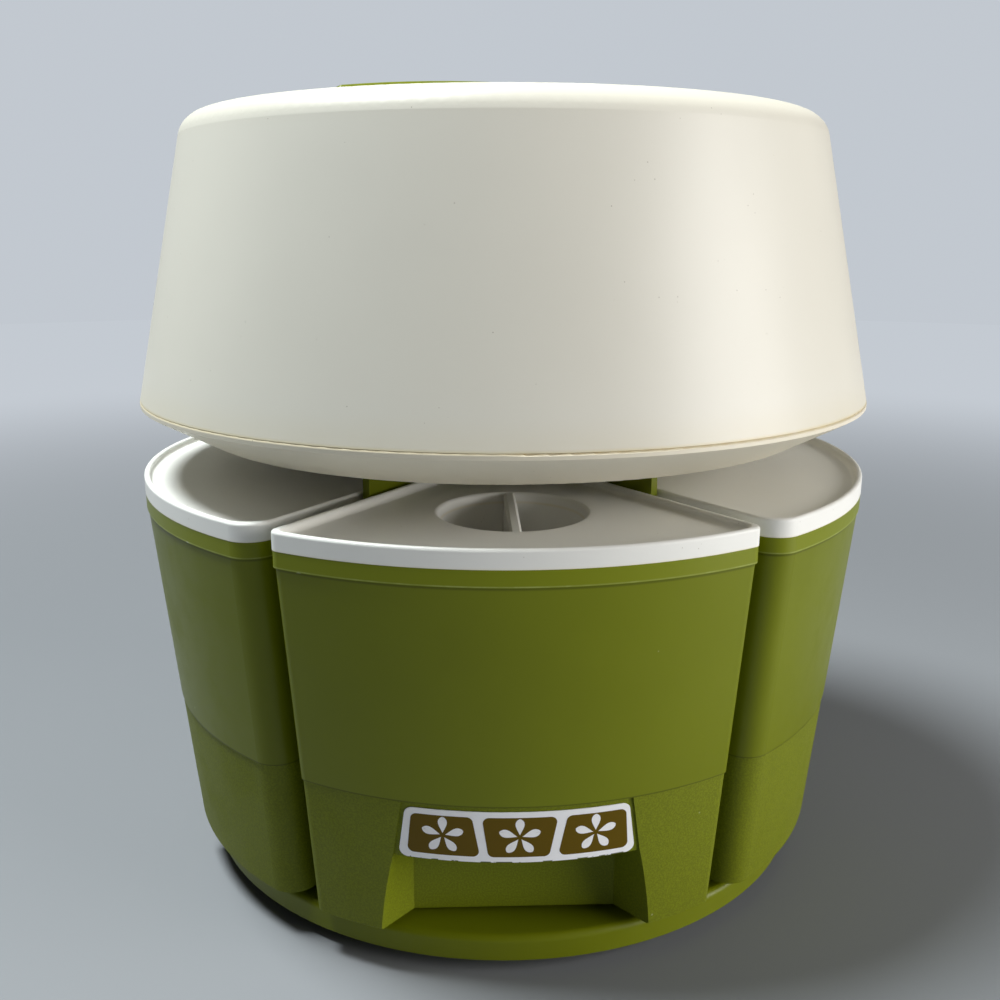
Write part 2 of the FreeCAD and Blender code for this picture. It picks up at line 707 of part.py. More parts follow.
def make_divider_screws():
    sizes = (S.screw_radius, S.screw_length, S.screw_head_radius, S.screw_head_height)
    screws = []
    for index, (across, along) in enumerate(fin_places(S.boss_circle)):
        screws.append(new_screw("divider_screw%d" % index, sizes, across, along, deck_bottom))
    new_group("divider_screws", screws)


class Bay:
    """One canister's place: its direction, half its angle, its nose, corners and lid cup."""

    def __init__(self, side, facing, half_angle, nose, corner, cup_circle):
        self.side = side
        self.facing = facing
        self.half_angle = half_angle
        self.nose = nose
        self.corner = corner
        self.cup_circle = cup_circle

    def sector(self, radius, gap, inset):
        """A sector with rounded corners. Its straight sides lie at a distance, gap, from the
        fins' middle planes, and its flat inner end at the nose plus an inset."""
        cos_half = cosine(self.half_angle)
        sin_half = sine(self.half_angle)
        rim = radius - self.corner
        side = gap + self.corner
        reach = root(rim * rim - side * side)
        out_x = reach * cos_half + side * sin_half
        out_y = reach * sin_half - side * cos_half
        arc_x = out_x * radius / rim
        arc_y = out_y * radius / rim
        line_x = out_x - self.corner * sin_half
        line_y = out_y + self.corner * cos_half
        end = self.nose + inset
        in_x = end + S.nose_corner
        side = gap + S.nose_corner
        in_y = (in_x - side * sin_half) / cos_half * sin_half - side * cos_half
        foot_x = in_x - S.nose_corner * sin_half
        foot_y = in_y + S.nose_corner * cos_half
        return [
            (end, -in_y),
            (foot_x, -foot_y, S.nose_corner, (in_x, -in_y)),
            (line_x, -line_y),
            (arc_x, -arc_y, self.corner, (out_x, -out_y)),
            (arc_x, arc_y, radius, (0.0, 0.0)),
            (line_x, line_y, self.corner, (out_x, out_y)),
            (foot_x, foot_y),
            (end, in_y, S.nose_corner, (in_x, in_y))]


NARROW = (S.narrow_nose, S.narrow_corner, S.narrow_cup_circle)
WIDE = (S.wide_nose, S.wide_corner, S.wide_cup_circle)
BAYS = [
    Bay("front", -90.0, S.pitch_angle, *NARROW),
    Bay("back", 90.0, S.pitch_angle, *NARROW),
    Bay("left", 180.0, 90.0 - S.pitch_angle, *WIDE),
    Bay("right", 0.0, 90.0 - S.pitch_angle, *WIDE),
]

wall_height = S.canister_height - S.rim_height


def wall_radius(height):
    """Outer radius of a canister's upper wall at a height above its bottom."""
    return S.rim_radius - S.rim_step - S.base_inset * (1.0 - height / wall_height)


def wall_gap(height):
    """Distance of a canister's side from the fin's middle plane at a height."""
    return S.rim_gap + S.rim_step + S.side_inset * (1.0 - height / wall_height)


def wall_sketch(body, name, bay, height, inset):
    """The canister's outline at a height, drawn in by an inset."""
    sketch = new_sketch(body, name, level=canister_bottom + height)
    return outline(sketch, bay.sector(wall_radius(height) - inset, wall_gap(height) + inset,
                                      S.rim_step + inset))


def pull_outline(body, name, height, half, back, back_half, radius):
    """The finger pull in plan: a back wall, slanted sides and a front along the wall."""
    front = root(radius * radius - half * half)
    sketch = new_sketch(body, name, level=canister_bottom + height)
    return outline(sketch, [
        (back, -back_half), (front, -half), (front, half, radius, (0.0, 0.0)),
        (back, back_half)])


def pull_cut_outline(body, name, height, half, radius):
    """The finger pull's hollow in plan, carried on in line past the wall."""
    front = root(radius * radius - half * half)
    slope = (half - S.pull_back_half) / (front - pull_back)
    beyond = S.rim_radius + S.canister_wall - front
    sketch = new_sketch(body, name, level=canister_bottom + height)
    return outline(sketch, [
        (pull_back, -S.pull_back_half),
        (front + beyond, -half - beyond * slope),
        (front + beyond, half + beyond * slope),
        (pull_back, S.pull_back_half)])


def make_canister(bay):
    body = new_body("canister_" + bay.side)
    step = S.lower_step
    wall = S.canister_wall
    loft_between(body, "bottom_bevel",
                 wall_sketch(body, "bevel_low", bay, 0.0, step + S.bottom_round),
                 wall_sketch(body, "bevel_high", bay, S.bottom_round, step))
    loft_between(body, "lower_zone",
                 wall_sketch(body, "lower_low", bay, S.bottom_round, step),
                 wall_sketch(body, "lower_high", bay, S.lower_height, step))
    loft_between(body, "upper_zone",
                 wall_sketch(body, "upper_low", bay, S.lower_height, 0.0),
                 wall_sketch(body, "upper_high", bay, wall_height, 0.0))
    band = outline(new_sketch(body, "band_outline", level=band_bottom),
                   bay.sector(S.rim_radius, S.rim_gap, 0.0))
    raise_outline(body, "rim_band", band, S.rim_height)
    mouth = new_sketch(body, "mouth", level=rim_level)
    outline(mouth, bay.sector(S.rim_radius - S.rim_step - wall, S.rim_gap + S.rim_step + wall,
                              S.rim_step + wall))
    loft_between(body, "inside", wall_sketch(body, "inside_low", bay, S.canister_floor, step + wall),
                 mouth, cut=True)
    low = S.pull_height - wall / 2
    window = new_sketch(body, "panel_outline", "YZ_Plane", pull_back)
    outline(window, [
        (-S.pull_head_half, canister_bottom + low), (S.pull_head_half, canister_bottom + low),
        (S.panel_top_half, lower_level), (-S.panel_top_half, lower_level)])
    raise_outline(body, "panel_window", window, S.rim_radius - pull_back, cut=True, reverse=True)
    high = S.lower_height + wall / 2
    back = step + wall + S.panel_backing
    front = step + S.panel_depth
    turn_profile(body, "panel_back", [
        (wall_radius(low) - back, canister_bottom + low),
        (wall_radius(low) - front, canister_bottom + low),
        (wall_radius(high) - front, canister_bottom + high),
        (wall_radius(high) - back, canister_bottom + high)], angle=2 * S.panel_reach)
    middle = step + wall / 2
    head = S.pull_height + wall
    loft_between(body, "pull_walls",
                 pull_outline(body, "pull_walls_low", 0.0, S.pull_foot_half + wall,
                              pull_back - wall, S.pull_back_half + wall,
                              wall_radius(0.0) - middle - S.bottom_round),
                 pull_outline(body, "pull_walls_high", head, S.pull_head_half + wall,
                              pull_back - wall, S.pull_back_half + wall,
                              wall_radius(head) - middle))
    loft_between(body, "pull_hollow",
                 pull_cut_outline(body, "pull_low", -wall, S.pull_foot_half, wall_radius(0.0)),
                 pull_cut_outline(body, "pull_high", S.pull_height, S.pull_head_half,
                                  wall_radius(S.pull_height)),
                 cut=True)
    feet = new_sketch(body, "feet_circles", level=canister_bottom)
    for distance, share in ((S.inner_foot_circle, 0.3), (S.outer_foot_circle, 0.72)):
        for side in (-1.0, 1.0):
            angle = bay.half_angle * share
            ring_outline(feet, (distance * cosine(angle), distance * sine(angle) * side),
                         S.canister_foot_radius)
    raise_outline(body, "feet", feet, S.canister_foot, reverse=True)
    face_outward(body, bay.facing)


def make_label(bay):
    """A thin sticker on the panel, wider at its lower edge, with rounded corners."""
    body = new_body("label_" + bay.side)
    top = S.lower_height - S.label_margin
    bottom = top - S.label_height
    back = S.lower_step + S.panel_depth - S.label_glue
    turn_profile(body, "sheet", [
        (wall_radius(bottom) - back, canister_bottom + bottom),
        (wall_radius(bottom) - back + S.label_thickness, canister_bottom + bottom),
        (wall_radius(top) - back + S.label_thickness, canister_bottom + top),
        (wall_radius(top) - back, canister_bottom + top)], angle=2 * S.panel_reach)
    low = canister_bottom + bottom
    high = canister_bottom + top
    corners = [(-S.label_foot_half, low), (S.label_foot_half, low),
               (S.label_top_half, high), (-S.label_top_half, high)]
    shape = []
    for index, corner in enumerate(corners):
        shape += rounded(corners[index - 1], corner, corners[(index + 1) % 4], S.label_corner)
    trim = new_sketch(body, "trim_outline", "YZ_Plane", pull_back)
    beyond = S.label_foot_half * 2
    edge = S.label_corner
    outline(trim, [(-beyond, low - edge), (beyond, low - edge), (beyond, high + edge),
                   (-beyond, high + edge)])
    outline(trim, shape)
    raise_outline(body, "trim", trim, S.rim_radius - pull_back, cut=True, reverse=True)
    face_outward(body, bay.facing)


def make_lid(bay):
    body = new_body("lid_" + bay.side)
    out = S.lid_outset
    wall = S.lid_wall
    lid_top = rim_level + S.lid_height
    panel_top = lid_top - S.lid_dish
    panel_bottom = panel_top - S.lid_panel
    plug_bottom = rim_level - S.plug_depth
    skirt = new_sketch(body, "skirt_outline", level=rim_level)
    outline(skirt, bay.sector(S.rim_radius + out, S.rim_gap - out, -out))
    raise_outline(body, "skirt", skirt, S.lid_height)
    dish = new_sketch(body, "dish_outline", level=lid_top)
    outline(dish, bay.sector(S.rim_radius + out - wall, S.rim_gap - out + wall, wall - out))
    raise_outline(body, "dish", dish, S.lid_dish, cut=True)
    round_edges(body, "rim_round", edges_at(body.Shape, lid_top), S.lid_round)
    round_edges(body, "dish_round", edges_at(body.Shape, panel_top), S.dish_round)
    fit = S.canister_wall + S.plug_gap + S.base_inset * S.plug_depth / wall_height
    plug = (S.rim_radius - S.rim_step - fit, S.rim_gap + S.rim_step + fit, S.rim_step + fit)
    inner = (plug[0] - S.plug_wall, plug[1] + S.plug_wall, plug[2] + S.plug_wall)
    hollow = new_sketch(body, "hollow_outline", level=rim_level)
    outline(hollow, bay.sector(S.rim_radius + out - wall, S.rim_gap - out + wall, wall - out))
    raise_outline(body, "hollow", hollow, panel_bottom - rim_level, cut=True, reverse=True)
    ring = new_sketch(body, "plug_outline", level=plug_bottom)
    outline(ring, bay.sector(*plug))
    outline(ring, bay.sector(*inner))
    raise_outline(body, "plug", ring, panel_top - S.lid_panel / 2 - plug_bottom)
    middle = (bay.cup_circle, 0.0)
    cup_bottom = panel_top - S.cup_depth
    thick = S.lid_panel
    loft_between(body, "cup_wall",
                 ring_outline(new_sketch(body, "cup_out_low", level=cup_bottom - thick),
                              middle, S.cup_floor_radius + thick),
                 ring_outline(new_sketch(body, "cup_out_high", level=panel_bottom + thick / 2),
                              middle, S.cup_radius + thick))
    loft_between(body, "cup",
                 ring_outline(new_sketch(body, "cup_in_low", level=cup_bottom),
                              middle, S.cup_floor_radius),
                 ring_outline(new_sketch(body, "cup_in_high", level=panel_top),
                              middle, S.cup_radius),
                 cut=True)
    mouth = [name for name in edges_at(body.Shape, panel_top)
             if is_circle(body.Shape.getElement(name), S.cup_radius)]
    round_edges(body, "cup_round", mouth, S.cup_round)
    into = thick / 2
    low = new_sketch(body, "grip_foot", level=cup_bottom - into)
    outline(low, oblong(bay.cup_circle, S.cup_floor_radius + into, S.grip_foot_half))
    grip_top = panel_top - S.grip_drop
    head = new_sketch(body, "grip_head", level=grip_top - S.grip_bevel)
    outline(head, oblong(bay.cup_circle, S.cup_radius + into, S.grip_head_half))
    loft_between(body, "grip_bar", low, head)
    edge = new_sketch(body, "crest_foot", level=grip_top - S.grip_bevel)
    outline(edge, oblong(bay.cup_circle, S.cup_radius + into, S.grip_head_half))
    crest = new_sketch(body, "crest_top", level=grip_top)
    outline(crest, oblong(bay.cup_circle, S.cup_radius + into,
                          S.grip_head_half - S.grip_bevel))
    loft_between(body, "grip_crest", edge, crest)
    face_outward(body, bay.facing)


def oblong(middle, half_length, half_width):
    """The corners of an oblong along the X axis, round a middle on that axis."""
    return [(middle - half_length, -half_width), (middle + half_length, -half_width),
            (middle + half_length, half_width), (middle - half_length, half_width)]


def make_cake_tray():
    body = new_body("cake_tray")
    wall = S.tray_wall
    under = divider_top
    floor = under + wall
    flare_top = under + S.tray_flare_height
    slope = (tray_flare_radius - tray_foot_radius) / S.tray_flare_height
    hole = S.divider_bore - S.peg_gap + S.peg_fit
    upstand_top = seat_level + S.tray_upstand
    lean = (cover_radius - cover_top_radius) / S.cover_height
    upstand = cover_radius - S.cover_wall - S.tray_upstand * lean - S.tray_fit
    upstand_in = upstand - S.tray_upstand_wall
    inner_foot = tray_foot_radius - wall / 2
    ring_in = plate_ring_radius
    ring_out = plate_ring_radius + S.plate_ring_width
    ring_top = floor + S.plate_ring_height
    turn_profile(body, "tray_section", [
        (hole, under), (tray_foot_radius, under),
        (tray_flare_radius, flare_top), (tray_radius, flare_top + (S.tray_height
         - S.tray_flare_height) / 3), (tray_radius, seat_level), (upstand, seat_level),
        (upstand, upstand_top), (upstand_in, upstand_top),
        (upstand_in, floor + (upstand_in - inner_foot) / slope),
        (inner_foot, floor), (ring_out, floor), (ring_out, ring_top), (ring_in, ring_top),
        (ring_in, floor), (hole, floor)])
    names = circles_at(body.Shape, tray_foot_radius, under)
    round_edges(body, "tray_foot_round", names, S.tray_foot_round)
    names = circles_at(body.Shape, tray_radius, seat_level)
    round_edges(body, "tray_lip_round", names, S.tray_lip_round)


def make_tray_peg():
    """A peg through the tray's middle, which centres the tray on the divider's hub."""
    body = new_body("tray_peg")
    floor = divider_top + S.tray_wall
    bottom = divider_top - S.peg_depth
    peg = S.divider_bore - S.peg_gap
    turn_profile(body, "peg_section", [
        (0.0, bottom), (peg, bottom), (peg, floor), (peg + S.peg_head, floor),
        (peg + S.peg_head, floor + S.peg_head_height), (0.0, floor + S.peg_head_height)])
    names = circles_at(body.Shape, peg, bottom)
    round_edges(body, "peg_round", names, S.peg_round)


def handle_screw_places():
    across = handle_screw_half * cosine(S.handle_turn)
    along = handle_screw_half * sine(S.handle_turn)
    return [(across, along), (-across, -along)]


def make_cake_cover():
    body = new_body("cake_cover")
    wall = S.cover_wall
    lean = (cover_radius - cover_top_radius) / S.cover_height
    turn_profile(body, "cover_block", [
        (0.0, seat_level), (cover_radius, seat_level), (cover_top_radius, shoulder_level),
        (well_radius, well_mouth_level), (well_floor_radius, well_floor_level),
        (0.0, well_floor_level)])
    names = circles_at(body.Shape, cover_top_radius, shoulder_level)
    round_edges(body, "shoulder", names, S.cover_shoulder)
    names = circles_at(body.Shape, well_radius, well_mouth_level)
    round_edges(body, "well_mouth", names, S.well_round)
    names = circles_at(body.Shape, well_floor_radius, well_floor_level)
    round_edges(body, "well_foot", names, S.well_round / 2)
    rim_inside = (cover_radius - wall, seat_level)
    corner = (cover_top_radius - wall + wall * lean, shoulder_level - wall)
    well_outside = (well_radius + wall, well_mouth_level - wall)
    shoulder = rounded(rim_inside, corner, well_outside, S.cover_shoulder - wall)
    turn_profile(body, "cover_hollow", [
        (0.0, seat_level), rim_inside, shoulder[0], shoulder[1], well_outside,
        (well_floor_radius + wall, ceiling_level), (0.0, ceiling_level)], cut=True)
    holes = new_sketch(body, "handle_screw_circles", level=well_floor_level)
    for place in handle_screw_places():
        ring_outline(holes, place, S.handle_screw_radius + S.screw_gap)
    raise_outline(body, "handle_screw_holes", holes, wall * 2, cut=True)


def make_cover_handle():
    body = new_body("cover_handle")
    low = well_floor_level
    high = low + S.handle_height
    half = handle_half
    foot = half - S.handle_foot
    end = half - S.handle_slope
    inner_end = foot - S.handle_slope / 2
    middle = (0.0, high - S.handle_arch)
    inner_arch = S.handle_arch - S.handle_bar
    end_level = middle[1] + root(S.handle_arch * S.handle_arch - end * end)
    inner_level = middle[1] + root(inner_arch * inner_arch - inner_end * inner_end)
    side = new_sketch(body, "handle_side", "XZ_Plane")
    outline(side, [
        (-half, low), (-foot, low), (-inner_end, inner_level),
        (inner_end, inner_level, inner_arch, middle), (foot, low), (half, low),
        (end, end_level), (-end, end_level, S.handle_arch, middle)])
    raise_outline(body, "handle_block", side, S.handle_width, midplane=True)
    seat = edges_at(body.Shape, low)
    names = ["Edge%d" % index for index in range(1, len(body.Shape.Edges) + 1)]
    round_edges(body, "handle_rounds", [name for name in names if name not in seat],
                S.handle_round)
    holes = new_sketch(body, "handle_holes", level=low)
    for side in (-1.0, 1.0):
        ring_outline(holes, (handle_screw_half * side, 0.0), S.handle_screw_radius)
    depth = S.handle_screw_length - S.cover_wall - S.handle_washer_thickness
    raise_outline(body, "handle_screw_bores", holes, depth, cut=True, reverse=True)
    face_outward(body, 0.0)
    bind(body, "Placement.Rotation.Angle", S.handle_turn)


def make_handle_fasteners():
    sizes = (S.handle_screw_radius, S.handle_screw_length, S.handle_screw_head,
             S.handle_screw_head_height)
    seat = ceiling_level - S.handle_washer_thickness
    screws = []
    washers = []
    for index, (across, along) in enumerate(handle_screw_places()):
        screws.append(new_screw("handle_screw%d" % index, sizes, across, along, seat))
        disc = new_cylinder("washer_disc%d" % index, S.handle_washer_radius,
                            S.handle_washer_thickness, across, along, seat)
        bore = new_cylinder("washer_bore%d" % index, S.handle_screw_radius,
                            S.handle_washer_thickness, across, along, seat)
        washer = doc.addObject("Part::Cut", "handle_washer%d" % index)
        washer.Base = disc
        washer.Tool = bore
        washers.append(washer)
    new_group("handle_screws", screws)
    new_group("handle_washers", washers)


make_foot_base()
make_foot_pads()
make_races()
make_ball_cage()
make_bearing_balls()
make_pivot()
make_turntable()
make_divider()
make_divider_screws()
for bay in BAYS:
    make_canister(bay)
    make_label(bay)
    make_lid(bay)
make_cake_tray()
make_tray_peg()
make_cake_cover()
make_cover_handle()
make_handle_fasteners()
doc.recompute()

# Every object has to be sound before anything is written
for item in doc.Objects:
    if "Invalid" in item.State or "Error" in item.State:
        raise RuntimeError("%s (%s) has failed: %s" % (item.Name, item.Label, item.State))
os.makedirs("parts", exist_ok=True)
for node in NODES:
    if node.Shape.isNull() or not node.Shape.isValid():
        raise RuntimeError("%s has no valid shape" % node.Label)
    node.Shape.exportStep("parts/%s.step" % node.Label)
    box = node.Shape.BoundBox
    print("%-16s solids %2d volume %9.0f  x %7.1f %7.1f  y %7.1f %7.1f  z %6.1f %6.1f" % (
        node.Label, len(node.Shape.Solids), node.Shape.Volume,
        box.XMin, box.XMax, box.YMin, box.YMax, box.ZMin, box.ZMax))
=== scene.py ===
"""Looks of a canister carousel with a covered cake tray, as a Blender add-on run as a script."""

import math

import bpy
import numpy as np
from bpy.props import FloatProperty, FloatVectorProperty, PointerProperty
from mathutils import Matrix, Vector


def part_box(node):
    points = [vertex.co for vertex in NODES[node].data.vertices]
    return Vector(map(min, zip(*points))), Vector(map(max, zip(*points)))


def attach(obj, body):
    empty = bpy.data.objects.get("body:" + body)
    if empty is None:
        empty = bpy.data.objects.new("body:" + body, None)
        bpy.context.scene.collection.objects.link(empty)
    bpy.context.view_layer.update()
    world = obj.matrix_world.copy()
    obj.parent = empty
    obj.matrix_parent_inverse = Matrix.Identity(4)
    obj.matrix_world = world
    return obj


bl_info = {
    "name": "Canister Carousel Finisher",
    "version": (1, 0, 0),
    "blender": (4, 5, 0),
    "location": "View3D > Sidebar > Carousel",
    "description": "Finishes, label prints, floor, lights and camera of a canister carousel",
    "category": "Object",
}

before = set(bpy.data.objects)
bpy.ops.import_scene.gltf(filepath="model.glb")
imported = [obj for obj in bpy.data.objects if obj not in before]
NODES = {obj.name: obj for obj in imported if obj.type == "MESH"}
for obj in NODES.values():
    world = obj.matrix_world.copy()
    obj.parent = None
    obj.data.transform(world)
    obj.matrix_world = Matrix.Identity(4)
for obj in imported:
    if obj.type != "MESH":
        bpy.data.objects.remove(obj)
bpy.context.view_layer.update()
SIDES = {"front": -90.0, "back": 90.0, "left": 180.0, "right": 0.0}


def top_of(node):
    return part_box(node)[1].z


# Sizes in metres
LABEL_MARGIN = 0.0022
BAND_HEIGHT = 0.0059
CROWN_RISE = 0.0012
LABEL_SLOPE = 0.0121 / (0.142 - 0.0059)
RIM_LEVEL = top_of("canister_front")
LABEL_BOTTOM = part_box("label_front")[0].z
GRAIN_LEVEL = top_of("label_front") + LABEL_MARGIN
BAND_LEVEL = RIM_LEVEL - BAND_HEIGHT
SEAM_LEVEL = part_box("cake_cover")[0].z
SHOULDER_LEVEL = top_of("cake_cover") - CROWN_RISE

# Each printed patch: the ends of its lower edge, then of its upper edge, from right to left
PATCH_ENDS = [
    (-0.0380, -0.0129, -0.0157, -0.0364),
    (-0.0101, 0.0108, 0.0137, -0.0123),
    (0.0138, 0.0385, 0.0373, 0.0169),
]
PATCH_LIFT = 0.00004
PETAL_LIFT = 0.00008
PETAL_COUNT = 5
FLOWER_SHIFT = 0.0001

WALL_COLOUR = (0.54, 0.58, 0.63)
SKY_COLOUR = (0.80, 0.84, 0.90)
FLOOR_RADIUS = 3.0
FLOOR_RINGS = 12
FLOOR_SPOKES = 96

# Each light: its place, the point it faces, its colour and its width
RIGHT_LIGHT = ((1.36, -0.63, 0.46), (0.0, 0.0, 0.17), (1.0, 0.98, 0.95), 1.1)
LEFT_LIGHT = ((-0.56, 0.0, 1.59), (0.0, 0.0, 0.25), (0.93, 0.99, 1.0), 0.5)

# The camera looks down by its tilt, from a place that is turned about the vertical axis
CAMERA_LENS = 37.8
CAMERA_SENSOR = 36.0
CAMERA_PLACE = (-0.00126, -0.45947, 0.26024)
CAMERA_TURN = -2.0
CAMERA_TILT = 14.293
CAMERA_ROLL = 0.049


# Shader maths

class Signal:
    """A node's output. Python's operators add Math nodes to its tree."""

    def __init__(self, finish, socket):
        self.finish = finish
        self.socket = socket

    def math(self, operation, *inputs):
        return self.finish.add("ShaderNodeMath", {"operation": operation}, inputs)

    def __add__(self, other):
        return self.math("ADD", self, other)

    def __sub__(self, other):
        return self.math("SUBTRACT", self, other)

    def __mul__(self, other):
        return self.math("MULTIPLY", self, other)

    def __rsub__(self, other):
        return self.math("SUBTRACT", other, self)

    def __pow__(self, other):
        return self.math("POWER", self, other)

    __radd__ = __add__
    __rmul__ = __mul__

    def size(self):
        return self.math("ABSOLUTE", self)

    def smaller(self, other):
        return self.math("MINIMUM", self, other)

    def rise(self, start, end):
        """0 up to start, 1 from end on, and an S curve between them."""
        return self.finish.add("ShaderNodeMapRange", {"interpolation_type": "SMOOTHSTEP"},
                               {"Value": self, "From Min": start, "From Max": end})

    def fall(self, start, end):
        """1 up to start, 0 from end on, and an S curve between them."""
        return self.finish.add("ShaderNodeMapRange", {"interpolation_type": "SMOOTHSTEP"},
                               {"Value": self, "From Min": start, "From Max": end,
                                "To Min": 1.0, "To Max": 0.0})

    def near(self, place, reach):
        """1 at a place, 0 from a reach away on either side."""
        return (self - place).size().fall(0.0, reach)


class NodeBoard:
    """A node tree that nodes are added to."""

    def __init__(self, tree):
        self.tree = tree

    def split(self, vector):
        """The three parts of a vector."""
        outputs = self.add("ShaderNodeSeparateXYZ", None, [vector]).socket.node.outputs
        return [Signal(self, outputs[axis]) for axis in "XYZ"]

    def add(self, kind, settings=None, inputs=(), output=0):
        """A node of any type: its settings first, then the values or links of its sockets."""
        node = self.tree.nodes.new(kind)
        for key, value in (settings or {}).items():
            setattr(node, key, value)
        pairs = inputs.items() if isinstance(inputs, dict) else enumerate(inputs)
        for key, value in pairs:
            if isinstance(value, Signal):
                self.tree.links.new(value.socket, node.inputs[key])
            else:
                node.inputs[key].default_value = value
        return Signal(self, node.outputs[output])

    def blend(self, mask, before, after):
        """The colour before, turned into the colour after where the mask is 1."""
        colours = [value if isinstance(value, Signal) else (*value[:3], 1.0)
                   for value in (before, after)]
        return self.add("ShaderNodeMix", {"data_type": "RGBA"},
                        {"Factor": mask, 6: colours[0], 7: colours[1]}, 2)


class Finish(NodeBoard):
    """A material under construction round one Principled shader."""

    def __init__(self, name):
        self.material = bpy.data.materials.new(name)
        self.material.use_nodes = True
        super().__init__(self.material.node_tree)
        self.shader = self.tree.nodes["Principled BSDF"]
        self.place = self.add("ShaderNodeTexCoord", output="Object")
        self.x, self.y, self.z = self.split(self.place)

    def noise(self, scale, detail=2.0, roughness=0.5, stretch=None):
        """Noise in 0 to 1, with features about 1/scale metres across."""
        place = self.place
        if stretch:
            place = self.add("ShaderNodeMapping", {"vector_type": "POINT"},
                             {"Vector": place, "Scale": stretch})
        return self.add("ShaderNodeTexNoise", {"noise_dimensions": "3D"},
                        {"Vector": place, "Scale": scale, "Detail": detail,
                         "Roughness": roughness})

    def cells(self, scale):
        """Distance to the nearest of points scattered about 1/scale metres apart."""
        return self.add("ShaderNodeTexVoronoi", {"feature": "F1"},
                        {"Vector": self.place, "Scale": scale}, "Distance")

    def specks(self, scale, share, size=0.12):
        """Round specks in a share of the cells of a scatter."""
        distance = self.cells(scale)
        pick = self.noise(scale * 0.31, 0.0)
        return distance.fall(size * 0.6, size) * pick.rise(1.0 - share - 0.02, 1.0 - share)

    def scratches(self, scale, stretch, share):
        """Thin marks: the narrow crests of a stretched noise, kept only in patches."""
        line = self.noise(scale, 1.0, 0.4, stretch)
        patch = self.noise(scale * 0.17, 1.0, 0.5)
        return line.near(0.5, 0.012) * patch.rise(1.0 - share - 0.05, 1.0 - share)

    def radius(self):
        return (self.x * self.x + self.y * self.y) ** 0.5

    def bump(self, height, distance, strength=1.0, under=None):
        inputs = {"Height": height, "Distance": distance, "Strength": strength}
        if under:
            inputs["Normal"] = under
        return self.add("ShaderNodeBump", None, inputs)

    def finish(self, normal=None, **sockets):
        """Sets the shader's own sockets, whose names are given with _ for a space."""
        if normal:
            self.tree.links.new(normal.socket, self.shader.inputs["Normal"])
        for name, value in sockets.items():
            socket = self.shader.inputs[name.replace("_", " ").title().replace("Ior", "IOR")]
            if isinstance(value, Signal):
                self.tree.links.new(value.socket, socket)
            else:
                socket.default_value = value
        return self.material


def paint(material, *nodes):
    """Gives CAD nodes a material, in the slots that their meshes already have."""
    for name in nodes:
        mesh = NODES[name].data
        if mesh.materials:
            for index in range(len(mesh.materials)):
                mesh.materials[index] = material
        else:
            mesh.materials.append(material)


# Surfaces

def surface(name, points, material, closed=False):
    """A mesh on a grid of points, shape (rows, columns, 3). Each face joins a point to the next
    in its row and in its column. A closed grid also joins the last column to the first."""
    rows, columns = points.shape[:2]
    across = columns if closed else columns - 1
    low, side = np.meshgrid(np.arange(rows - 1), np.arange(across), indexing="ij")
    here = low * columns + side
    beside = low * columns + (side + 1) % columns
    faces = np.stack([here, beside, beside + columns, here + columns], axis=-1).reshape(-1, 4)
    mesh = bpy.data.meshes.new(name)
    mesh.from_pydata(points.reshape(-1, 3), [], faces.tolist())
    mesh.polygons.foreach_set("use_smooth", np.ones(len(faces), bool))
    mesh.materials.append(material)
    mesh.update()
    piece = bpy.data.objects.new(name, mesh)
    bpy.context.scene.collection.objects.link(piece)
    return piece


def join(name, pieces):
    """Several meshes made one, so that a group of like pieces is one object."""
    with bpy.context.temp_override(active_object=pieces[0], selected_editable_objects=pieces):
        bpy.ops.object.join()
    pieces[0].name = pieces[0].data.name = name
    return pieces[0]


def turned(points, degrees):
    """Points turned about the vertical axis."""
    angle = math.radians(degrees)
    turn = np.array([[math.cos(angle), math.sin(angle), 0.0],
                     [-math.sin(angle), math.cos(angle), 0.0],
                     [0.0, 0.0, 1.0]])
    return points @ turn


def round_polygon(corners, radius, steps):
    """The outline of a polygon with rounded corners, steps points to an arc and to an edge.
    An arc touches both edges at its corner, so its middle lies on the line that halves the
    corner, radius / sin(half the corner's angle) away. Edges run straight between arcs."""
    corners = np.asarray(corners, float)
    arcs = []
    for index, corner in enumerate(corners):
        back = corners[index - 1] - corner
        ahead = corners[(index + 1) % len(corners)] - corner
        back /= np.linalg.norm(back)
        ahead /= np.linalg.norm(ahead)
        half = math.acos(float(np.clip(back @ ahead, -1.0, 1.0))) / 2
        halfway = (back + ahead) / np.linalg.norm(back + ahead)
        middle = corner + halfway * radius / math.sin(half)
        start = corner + back * radius / math.tan(half) - middle
        end = corner + ahead * radius / math.tan(half) - middle
        first = math.atan2(start[1], start[0])
        swing = (math.atan2(end[1], end[0]) - first + math.pi) % (2 * math.pi) - math.pi
        angles = first + swing * np.linspace(0.0, 1.0, steps)
        arcs.append(middle + radius * np.stack([np.cos(angles), np.sin(angles)], axis=-1))
    share = np.linspace(0.0, 1.0, steps + 2)[1:-1, None]
    edges = [arc[-1] + (arcs[(index + 1) % len(arcs)][0] - arc[-1]) * share
             for index, arc in enumerate(arcs)]
    return np.concatenate([part for pair in zip(arcs, edges) for part in pair])


# Settings

